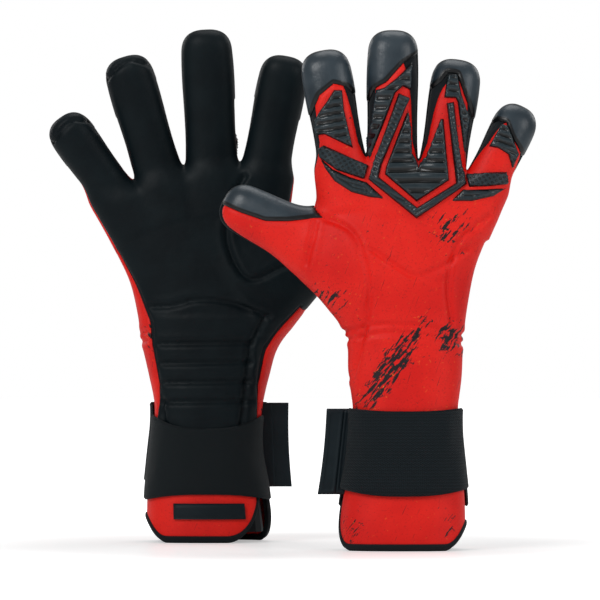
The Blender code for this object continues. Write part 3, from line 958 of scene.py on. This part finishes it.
TREES = {label: skin_tree(label) for label in GLOVES}
print("skins ready to be touched:", list(TREES))

# %% [markdown]
# The outlines are drawn once, on the glove that shows its back. On the other glove the same outline has to lie
# between its own fingers, so each place is moved with the fingers that it is near.

# %% Carry an outline over to the other glove
def to_far(label, flat):
    """Moves places on the near glove's flat to the same places between the far glove's fingers."""
    if label == "near":
        return flat
    total, weight = np.zeros_like(flat), np.zeros(len(flat))
    p = np.stack([flat[:, 0], flat[:, 0] * 0, flat[:, 1]], 1)
    for name in FINGERS[:4]:
        along, across, _ = finger_frame(GLOVES["near"], name, p)
        (x, z), tilt, *_ = GLOVES[label]["fingers"][name]
        s, c = math.sin(math.radians(tilt)), math.cos(math.radians(tilt))
        w = 1 / (np.abs(across) + 3) ** 4
        total += np.stack([x + along * s + across * c, z + along * c - across * s], 1) * w[:, None]
        weight += w
    return total / weight[:, None]


tip = to_far("far", np.array([[3.6, 272.0]]))[0]
print("a place at (3.6, 272) moves to:", tip.round(1).tolist())

# %% [markdown]
# Laying a relief takes four steps: fill the outline, drop every point on the skin, smooth what lies below, and
# raise it along the smoothed normals. The smoothing matters most, because ribs that follow each small facet of
# the foam look crumpled. Its edge rolls down to the foam, and in the same pass the hollows between the ribs and
# the foot of the edge are marked, so that the material paints shade there.

# %% Lay a relief on the skin
RELIEF_STEP = 0.7  # millimetres between points
BASE = 0.6  # how far the relief's foot stands off the grown surface
ROLL = 0.8


def fill_outline(outline):
    """Small triangles inside an outline: the points, the faces, and each point's distance from the edge."""
    step = RELIEF_STEP
    edge = refine(np.array(outline, float), step)
    low, high = edge.min(0), edge.max(0)
    gx, gz = np.meshgrid(np.arange(low[0], high[0], step), np.arange(low[1], high[1], step))
    gx[1::2] += step / 2
    grid = np.stack([gx.ravel(), gz.ravel()], 1)
    ring = np.concatenate([edge, edge[:1]])

    def edge_gap(q):
        return line_distance(np.stack([q[:, 0], q[:, 0] * 0, q[:, 1]], 1), ring)

    grid = grid[inside_outline(grid, edge)]
    grid = grid[edge_gap(grid) > step * 0.55]
    flat = np.concatenate([edge, grid])
    border = [list(range(len(edge)))]
    verts, _, faces, *_ = delaunay_2d_cdt([Vector(v) for v in flat], [], border, 1, 1e-4)
    flat = np.array([tuple(v) for v in verts])
    return flat, np.array([list(f) for f in faces]), edge_gap(flat)


def drop_on_skin(label, flat):
    """Where each point of the flat meets the back of the hand, and the skin's direction there."""
    hits, outs = [], []
    for x, z in to_far(label, flat):
        hit, normal, _, _ = TREES[label].ray_cast(Vector((x, -80.0, z)), Vector((0, 1, 0)))
        if hit is None:
            hit, normal, _, _ = TREES[label].find_nearest(Vector((x, -10.0, z)))
        hits.append(hit[:])
        outs.append((normal if normal.y < 0 else -normal)[:])
    return np.array(hits), np.array(outs)


def even_base(hits, outs, tri):
    """Smooths the directions, and a little of the depth, over the relief's own triangles."""
    pairs = np.unique(np.sort(np.concatenate([tri[:, [0, 1]], tri[:, [1, 2]], tri[:, [2, 0]]]), 1), axis=0)

    def neighbours(values):
        total, count = np.zeros_like(values), np.zeros(len(values))
        for a, b in ((0, 1), (1, 0)):
            np.add.at(total, pairs[:, a], values[pairs[:, b]])
            np.add.at(count, pairs[:, a], 1)
        return total / np.maximum(count, 1)[:, None]

    for turn in range(14):
        outs += (neighbours(outs) - outs) * 0.7
        if turn < 2:
            hits[:, 1] += (neighbours(hits)[:, 1] - hits[:, 1]) * 0.5
    outs /= np.linalg.norm(outs, axis=1, keepdims=True)


def relief(label, name, outline, material, height, ribs):
    """A raised shape on the back. ribs(x, z, gap) adds to its height inside its edge."""
    glove = GLOVES[label]
    flat, tri, gap = fill_outline(outline)
    rise = rolled(gap, ROLL)
    top = height * rise
    if ribs is not None:
        top = top + ribs(flat[:, 0], flat[:, 1], gap) * rise
    hits, outs = drop_on_skin(label, flat)
    spots = hits.copy()
    even_base(hits, outs, tri)
    points = hits + outs * (BASE + top)[:, None]
    # One on the rib tops, zero in the hollows between the ribs and at the foot of the edge. The silicone is painted
    # with shade where it is low.
    hollow_shade_mask = np.clip(1 + (top - height * rise) / 0.9, 0, 1) * np.clip((gap - 0.3) / 0.7, 0, 1)
    normals = point_normals(points, tri)
    if normals[:, 1].sum() > 0:
        tri, normals = tri[:, ::-1], -normals
    part = owners(glove, points[tri].mean(1), 8)
    made = []
    for i in range(6):
        mine = tri[part == i]
        if len(mine) < 4:
            continue
        ids, mine = np.unique(mine, return_inverse=True)
        whose = (*FINGERS, "hand")[i]
        piece = make_mesh(f"{label}_{name}_{whose}", to_world(glove, points[ids]), mine.reshape(-1, 3), material,
                          turn_only(glove, normals[ids]), spots[ids], hollow_shade_mask[ids])
        follow(label, piece, whose)
        made.append(piece)
    return made


print("relief points every", RELIEF_STEP, "mm")

# %% [markdown]
# Two kinds of rib are enough. On the shield and the fingers flat bars run across, tilted with the finger or bent
# to a chevron. On the two stripes thin ribs run side by side with the stripe's own edge.

# %% Ribs
def bars(x_slope, pitch, height, tilt=0.0):
    """Flat-topped ribs across a relief, tilted by some degrees and bent to a chevron by the slope."""
    s, c = math.sin(math.radians(tilt)), math.cos(math.radians(tilt))

    def ribs(x, z, gap):
        v = (x * s + z * c + x_slope * np.abs(x)) / pitch
        wave = np.clip(0.62 + 1.3 * np.sin(v * 2 * math.pi), 0, 1)
        return height * (wave - 1) * smooth((gap - 1.0) / 0.8)

    return ribs


def rings(pitch, height):
    """Ribs that run side by side with the relief's own edge."""

    def ribs(x, z, gap):
        wave = np.clip(0.5 + 1.1 * np.cos(gap / pitch * 2 * math.pi), 0, 1)
        return height * (wave - 1) * smooth((gap - 0.5) / 0.6)

    return ribs


print("a bar of 1.1 mm is", -float(bars(0, 4.0, 1.1)(0.0, 3.0, 9.0)), "mm deep in its hollow")

# %% [markdown]
# The reliefs themselves, as outlines (across, up) in the flat of the hand. The shield is two pieces: a band that
# frames the two middle fingers, and a centre between them. Each entry is an outline, a look, a height and ribs.

# %% Finger and knuckle reliefs
RELIEFS = {
    "index_ribs": (
        [(-39.7, 256.6), (-35.2, 256.6), (-34.1, 245.4), (-29.2, 224.2), (-44.8, 232.0), (-48.9, 231.4),
         (-49.8, 236.1), (-49.6, 240.5), (-47.6, 244.5), (-43.4, 250.5)],
        "ribbed", 1.9, bars(0, 4.2, 1.1, -10)),
    "middle_ribs": (
        [(-16.0, 256.6), (-11.3, 258.0), (-4.4, 263.6), (3.6, 272.0), (3.0, 256.4), (-1.4, 258.6),
         (-5.4, 255.0), (-19.4, 217.0), (-20.4, 229.0), (-18.0, 240.0)],
        "ribbed", 1.9, bars(0, 5.4, 1.1)),
    "ring_ribs": (
        [(23.8, 264.9), (29.4, 265.4), (31.2, 255.0), (35.6, 241.0), (33.4, 228.0), (33.0, 215.5),
         (29.1, 250.0), (28.0, 252.2), (21.8, 252.2)],
        "ribbed", 1.8, bars(0, 3.8, 1.0, 8)),
    "little_ribs": (
        [(54.0, 237.6), (57.6, 236.8), (60.4, 229.0), (63.0, 221.2), (59.3, 213.0), (57.2, 220.8),
         (52.0, 224.2), (46.9, 225.0), (50.5, 231.0)],
        "ribbed", 1.8, bars(0, 3.6, 1.0, 18)),
    "shield_band": (
        [(-3.7, 255.0), (-17.9, 214.7), (-20.4, 206.8), (6.3, 185.0), (34.2, 204.0), (31.1, 213.8),
         (27.3, 250.0), (23.1, 249.4), (28.0, 204.8), (6.7, 191.2), (-14.5, 208.2), (-12.9, 214.7),
         (2.4, 252.2)],
        "ribbed", 2.3, bars(-0.5, 3.1, 0.7)),
    "shield_centre": (
        [(1.3, 246.0), (2.9, 236.0), (3.3, 221.2), (7.3, 212.8), (12.2, 219.5), (19.9, 240.5),
         (21.6, 240.5), (24.4, 206.3), (6.4, 194.4), (-11.3, 209.6), (-10.6, 213.8)],
        "ribbed", 2.0, bars(0, 5.6, 1.2)),
    "index_pad": (
        [(-47.7, 224.2), (-45.0, 226.0), (-20.4, 214.2), (-22.8, 206.8), (-38.3, 212.1), (-46.8, 218.6)],
        "dotted", 2.0, None),
    "index_stripe": (
        [(-47.6, 221.6), (-44.6, 213.4), (-39.2, 205.9), (-29.9, 199.8), (-19.7, 197.0), (-11.3, 196.0),
         (-21.4, 205.2), (-30.9, 208.2), (-40.2, 212.5), (-46.2, 218.2)],
        "ribbed", 1.5, rings(1.9, 0.7)),
    "little_pad": (
        [(34.1, 209.2), (45.0, 210.7), (56.4, 211.2), (56.8, 204.2), (45.4, 202.9), (35.6, 202.4)],
        "dotted", 2.0, None),
    "little_stripe": (
        [(25.4, 194.8), (37.0, 194.8), (49.1, 197.6), (56.1, 202.2), (45.4, 201.4), (35.6, 201.0),
         (32.4, 201.2)],
        "ribbed", 1.5, rings(1.9, 0.7)),
}
LOOK_OF = {"ribbed": SILICONE, "dotted": SILICONE_DOTTED}
for label in GLOVES:
    laid = {name: relief(label, name, outline, LOOK_OF[look], height, ribs)
            for name, (outline, look, height, ribs) in RELIEFS.items()}
    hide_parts(f"{label}_knuckle_shield")
    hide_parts(f"{label}_index_pad")
    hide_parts(f"{label}_little_pad")
    print(label, "reliefs:", sum(len(pieces) for pieces in laid.values()))

# %% [markdown]
# The wrist. The skirt, its bound hem, the strap and the band are strips of cloth that follow the wrist's rounded
# oblong. A curve with a bevel would twist them, so they are drawn by height and by turn round the wrist, with
# thickness, a rolled edge, and a little waviness where a strap is never quite flat.

# %% Strips round the wrist
WRIST_POWER = 2.75


def wrist_point(glove, turn, z, lift):
    """turn is in half turns from the middle of the back, towards the little finger."""
    left = bend_through(glove["edges"], z, 1) - lift
    right = bend_through(glove["edges"], z, 2) + lift
    deep = bend_through(THICKNESS, z) + lift
    a = math.pi * turn
    s, c = np.sin(a), np.cos(a)
    power = 2 / WRIST_POWER
    return np.stack([(left + right) / 2 + (right - left) / 2 * np.sign(s) * np.abs(s) ** power,
                     -deep * np.sign(c) * np.abs(c) ** power, z + 0 * turn], -1)


def even_turns(glove, start, end, z, step):
    """Turns spaced by distance round the wrist."""
    t = np.linspace(start, end, 4000)
    p = wrist_point(glove, t, np.full_like(t, float(z)), 0)
    run = np.concatenate([[0], np.cumsum(np.linalg.norm(np.diff(p, axis=0), axis=1))])
    count = max(2, int(run[-1] / step))
    return np.interp(np.linspace(0, run[-1], count), run, t), run[-1]


def sheet_faces(n, m, flip=False):
    """Faces of a sheet with two sides of n by m points and a wall all round."""
    grid = np.arange(n * m).reshape(n, m)
    quad = np.stack([grid[:-1, :-1], grid[1:, :-1], grid[1:, 1:], grid[:-1, 1:]], -1).reshape(-1, 4)
    rim = np.concatenate([grid[:, 0], grid[-1, 1:], grid[::-1, -1][1:], grid[0, ::-1][1:-1]])
    after = np.roll(rim, -1)
    wall = np.stack([rim, rim + n * m, after + n * m, after], 1)
    faces = np.concatenate([quad, quad[:, ::-1] + n * m, wall])
    return faces[:, [0, 3, 2, 1]] if flip else faces


def strip(label, name, ends, bottom, top, lift, thick, material, step=1.2, wrinkle=0.0, round_edge=1.2,
          body="gloves"):
    """A thick band between two turns. bottom and top give its edges' heights at each turn."""
    glove = GLOVES[label]
    start, end = ends
    turns, length = even_turns(glove, start, end, 50, step)
    low, high = bottom(turns), top(turns)
    rows = max(4, int(np.max(high - low) / step))
    share = np.linspace(0, 1, rows)
    z = low[:, None] + (high - low)[:, None] * share[None]
    t = np.repeat(turns[:, None], rows, 1)
    run = np.linspace(0, length, len(turns))[:, None]
    gap = np.minimum(np.minimum(z - low[:, None], high[:, None] - z), np.minimum(run, length - run))
    rise = rolled(gap, round_edge)
    rough = np.array([[noise.noise(Vector((a * 7, b * 0.045, 3.1))) for b in zr] for a, zr in zip(turns, z)])
    up = lift + (rise - 1) * thick * 0.5 + wrinkle * rough
    outer = wrist_point(glove, t, z, up)
    inner = wrist_point(glove, t, z, lift - thick + (1 - rise) * thick * 0.5)
    n, m = z.shape
    points = np.concatenate([outer.reshape(-1, 3), inner.reshape(-1, 3)])
    spots = np.stack([np.repeat(run + start * 90, m, 1), 0 * z, z], -1).reshape(-1, 3)
    piece = make_mesh(f"{label}_{name}", to_world(glove, points), sheet_faces(n, m), material, None,
                      np.concatenate([spots, spots]))
    bm = bmesh.new()
    bm.from_mesh(piece.data)
    bmesh.ops.recalc_face_normals(bm, faces=bm.faces)
    bm.to_mesh(piece.data)
    bm.free()
    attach(piece, body)
    return piece


print("round the near wrist:", round(float(even_turns(GLOVES["near"], -1, 1, 50, 1.2)[1])), "mm")

# %% [markdown]
# The skirt flares to the hem and is slit at the thumb side, where a hand slips in. Its hem rises at the slit's
# corners and dips on the little finger's side. The strap is sewn down at one end: a short anchor stays with the
# hand, and the rest swings with its own body, so nothing tears when it opens.

# %% Skirt, hem, strap and band
def hem(turn):
    """The hem's height round the wrist."""
    side = 13.0 * np.maximum(0, 1 - ((turn - 0.5) / 0.3) ** 2) ** 2
    corner = np.minimum(turn + 0.53, 1.3 - turn)
    return side + 25.0 * np.maximum(0, 1 - corner / 0.24) ** 2


def sag(turn):
    """The strap hangs a little in the middle of the back."""
    return 4.0 * np.exp(-((turn / 0.28) ** 2))


def level(height):
    return lambda turn: height + 0 * turn


def wave_of(turn):
    return np.cos((turn - 1) * math.pi) ** 2


def wrist_pieces(label):
    skirt = strip(label, "cuff_skirt_skin", (-0.52, 1.29), lambda t: hem(t) + 2.5, level(62), 0.3, 2.6, RED)
    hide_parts(f"{label}_cuff_skirt")
    binding = strip(label, "hem_binding_skin", (-0.53, 1.30), hem, lambda t: hem(t) + 4.6, 1.3, 4.0, BINDING, 0.9,
                    round_edge=2.0)
    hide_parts(f"{label}_hem_binding")
    strap = strip(label, "strap_webbing", (-0.47, 0.476), lambda t: 34.5 - sag(t), lambda t: 79.5 - 0.4 * sag(t),
                  3.6, 2.2, WEBBING, wrinkle=0.7, body=f"{label}_strap")
    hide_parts(f"{label}_strap")
    anchor = strip(label, "strap_anchor", (0.468, 0.502), lambda t: 35.5 - sag(t), lambda t: 78.5 - 0.4 * sag(t),
                   3.0, 2.4, WEBBING)
    band = strip(label, "wrist_band_skin", (0.50, 1.47), lambda t: 24 + 3.5 * wave_of(t),
                 lambda t: 72.5 - 7.5 * wave_of(t), 2.6, 2.2, BAND, wrinkle=0.5)
    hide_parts(f"{label}_wrist_band")
    patch = strip(label, "pull_loop", (0.86, 1.16), level(13.5), level(22.5), 2.6, 1.8, RUBBER)
    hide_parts(f"{label}_pull_patch")
    return skirt, binding, strap, anchor, band, patch


WRISTS = {label: wrist_pieces(label) for label in GLOVES}
print("wrist pieces:", sum(len(pieces) for pieces in WRISTS.values()))

# %% [markdown]
# The pull tab is moulded rubber: a plate with a raised rim and a plain field, and a lip that joins it to the
# strap's end. It stands at the height and depth of its solid in the frame, so it turns on its own hinge. Both
# pieces are one kind of plate, between two lines given by their place across at each height.

# %% The pull tab
TAB_LOW, TAB_HIGH = 31, 79
TAB_ROLL = 1.2


def plate(label, name, outer, inner, y, body):
    """A flat moulded piece with a raised rim."""
    z, share = np.linspace(TAB_LOW, TAB_HIGH, 70), np.linspace(0, 1, 22)
    left, right = outer(z)[:, None], inner(z)[:, None]
    x = left + (right - left) * share[None]
    zz = np.repeat(z[:, None], len(share), 1)
    gap = np.minimum(np.minimum(x - left, right - x), np.minimum(zz - TAB_LOW, TAB_HIGH - zz))
    rise = TAB_ROLL * rolled(gap, TAB_ROLL)
    front = y - rise - 0.6 * np.exp(-(((gap - 1.7) / 0.7) ** 2))
    points = np.concatenate([np.stack([x, depth, zz], -1).reshape(-1, 3) for depth in (front, y + rise)])
    piece = make_mesh(f"{label}_{name}", to_world(GLOVES[label], points), sheet_faces(*x.shape, True), RUBBER,
                      None, points)
    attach(piece, body)
    return piece


def pull_tab(label):
    glove = GLOVES[label]
    tab = np.array([tuple(v.co) for v in bpy.data.objects[f"{label}_pull_tab"].data.vertices]) / MM
    tab = (tab - [*glove["place"], 0]) * [glove["turn"], glove["turn"], 1]
    low, high = tab[tab[:, 2] < 40, 0].max(), tab[tab[:, 2] > 70, 0].max()
    y = tab[:, 1].mean()

    def edge(z):
        return np.interp(z, [TAB_LOW, TAB_HIGH], [low, high])

    def outside(z):
        return edge(z) - 10.4 + 0.8 * np.sin((z - TAB_LOW) / (TAB_HIGH - TAB_LOW) * math.pi)

    grip = plate(label, "tab_grip", outside, lambda z: edge(z) + 0.2, y, f"{label}_tab")
    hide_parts(f"{label}_pull_tab")
    plate(label, "tab_lip", lambda z: edge(z) - 1.2, lambda z: edge(z) + 8.0, y + 0.5, f"{label}_strap")
    return grip


for label in GLOVES:
    grip = pull_tab(label)
    print(grip.name, "faces:", len(grip.data.polygons))

# %% [markdown]
# The inner cuff and the hook patch are simple and mostly hidden, so they keep their own solids from the frame
# and only get a finish.

# %% Finish the carried-over parts
FINISH_OF = {"cuff": KNIT, "hook_patch": RUBBER}
for label in GLOVES:
    for node, material in FINISH_OF.items():
        carried = bpy.data.objects[f"{label}_{node}"]
        for spot in carried.material_slots:
            spot.material = material
print("solids kept:", [f"{label}_{node}" for label in GLOVES for node in FINISH_OF])

# %% [markdown]
# The gloves stand on a white floor. A floor that is only lit would turn grey, and brighter lamps would wash out
# the red. So what the camera sees of the floor is lifted to white by a glow that fades close to the gloves, and
# only their own shade is left on it.

# %% Floor
floor_mesh = bpy.data.meshes.new("floor")
floor_mesh.from_pydata([(-3, -3, 0), (3, -3, 0), (3, 3, 0), (-3, 3, 0)], [], [(0, 1, 2, 3)])
floor = bpy.data.objects.new("floor", floor_mesh)
bpy.context.scene.collection.objects.link(floor)
white = bpy.data.materials.new("white_floor")
white.use_nodes = True
white.node_tree.nodes["Principled BSDF"].inputs["Base Color"].default_value = (0.86, 0.86, 0.86, 1)
white.node_tree.nodes["Principled BSDF"].inputs["Roughness"].default_value = 0.35
floor_mesh.materials.append(white)

nodes, links = white.node_tree.nodes, white.node_tree.links
glow, add, sight = nodes.new("ShaderNodeEmission"), nodes.new("ShaderNodeAddShader"), nodes.new("ShaderNodeLightPath")
scaled = nodes.new("ShaderNodeMath")
scaled.operation = "MULTIPLY"
links.new(sight.outputs["Is Camera Ray"], scaled.inputs[0])
place, far = nodes.new("ShaderNodeTexCoord"), nodes.new("ShaderNodeVectorMath")
far.operation = "LENGTH"
fade = nodes.new("ShaderNodeMapRange")
fade.interpolation_type = "SMOOTHSTEP"
for socket, value in (("From Min", 0.12), ("From Max", 0.34), ("To Min", 0.4), ("To Max", 1.0)):
    fade.inputs[socket].default_value = value
links.new(place.outputs["Object"], far.inputs[0])
links.new(far.outputs["Value"], fade.inputs["Value"])
links.new(fade.outputs["Result"], scaled.inputs[1])
links.new(scaled.outputs[0], glow.inputs["Strength"])
links.new(nodes["Principled BSDF"].outputs[0], add.inputs[0])
links.new(glow.outputs[0], add.inputs[1])
links.new(add.outputs[0], nodes["Material Output"].inputs["Surface"])

print("the floor's glow grows from", fade.inputs["From Min"].default_value, "to",
      fade.inputs["From Max"].default_value, "m")

# %% [markdown]
# The world is white where the camera sees it, and dim for everything else, so that the lamps shape the folds.
# Five large soft lamps stand round the pair, the strongest in front at the left.

# %% World and lamps
world = bpy.data.worlds.new("studio")
bpy.context.scene.world = world
world.use_nodes = True
tree = world.node_tree
background = tree.nodes["Background"]
background.inputs["Color"].default_value = (1, 1, 1, 1)
path = tree.nodes.new("ShaderNodeLightPath")
power = tree.nodes.new("ShaderNodeMapRange")
power.inputs["To Min"].default_value = 0.26
power.inputs["To Max"].default_value = 1.0
tree.links.new(path.outputs["Is Camera Ray"], power.inputs["Value"])
tree.links.new(power.outputs["Result"], background.inputs["Strength"])


def lamp(name, place, size, watts, target=(0, 0, 0.14)):
    data = bpy.data.lights.new(name, "AREA")
    data.shape, data.size, data.energy = "SQUARE", size, watts
    made = bpy.data.objects.new(name, data)
    bpy.context.scene.collection.objects.link(made)
    made.location = place
    made.rotation_euler = (Vector(target) - Vector(place)).to_track_quat("-Z", "Y").to_euler()


lamp("key", (-0.9, -1.3, 1.2), 0.8, 13)
lamp("fill", (1.3, -1.1, 0.8), 0.9, 6.5)
lamp("top", (0.1, 0.4, 1.6), 1.0, 7)
lamp("rim", (1.2, 1.2, 0.9), 0.8, 4)
lamp("rear", (-1.2, 1.3, 0.7), 0.8, 4)
print("lamps:", len(bpy.data.lights))

# %% [markdown]
# A long lens from a little above the cuffs keeps the fingers upright and the two gloves in their true
# proportion. The view transform is Standard, so a colour comes out about as it is written.

# %% Camera
AIM = Vector((0.005, 0.0, 0.1385))
LENS, SENSOR = 600, 36
HEIGHT_SEEN = 0.3366  # metres
DISTANCE = HEIGHT_SEEN * LENS / SENSOR + 0.03
TILT = math.radians(1.0)
camera = bpy.data.objects.new("camera", bpy.data.cameras.new("camera"))
bpy.context.scene.collection.objects.link(camera)
camera.data.lens = LENS
camera.location = AIM + Vector((0, -DISTANCE * math.cos(TILT), DISTANCE * math.sin(TILT)))
camera.rotation_euler = (AIM - camera.location).to_track_quat("-Z", "Y").to_euler()
camera.data.clip_end = 60
bpy.context.scene.camera = camera
bpy.context.scene.view_settings.view_transform = "Standard"
print("camera distance:", round(DISTANCE, 2), "m")

# %% Finish
print("scene built")
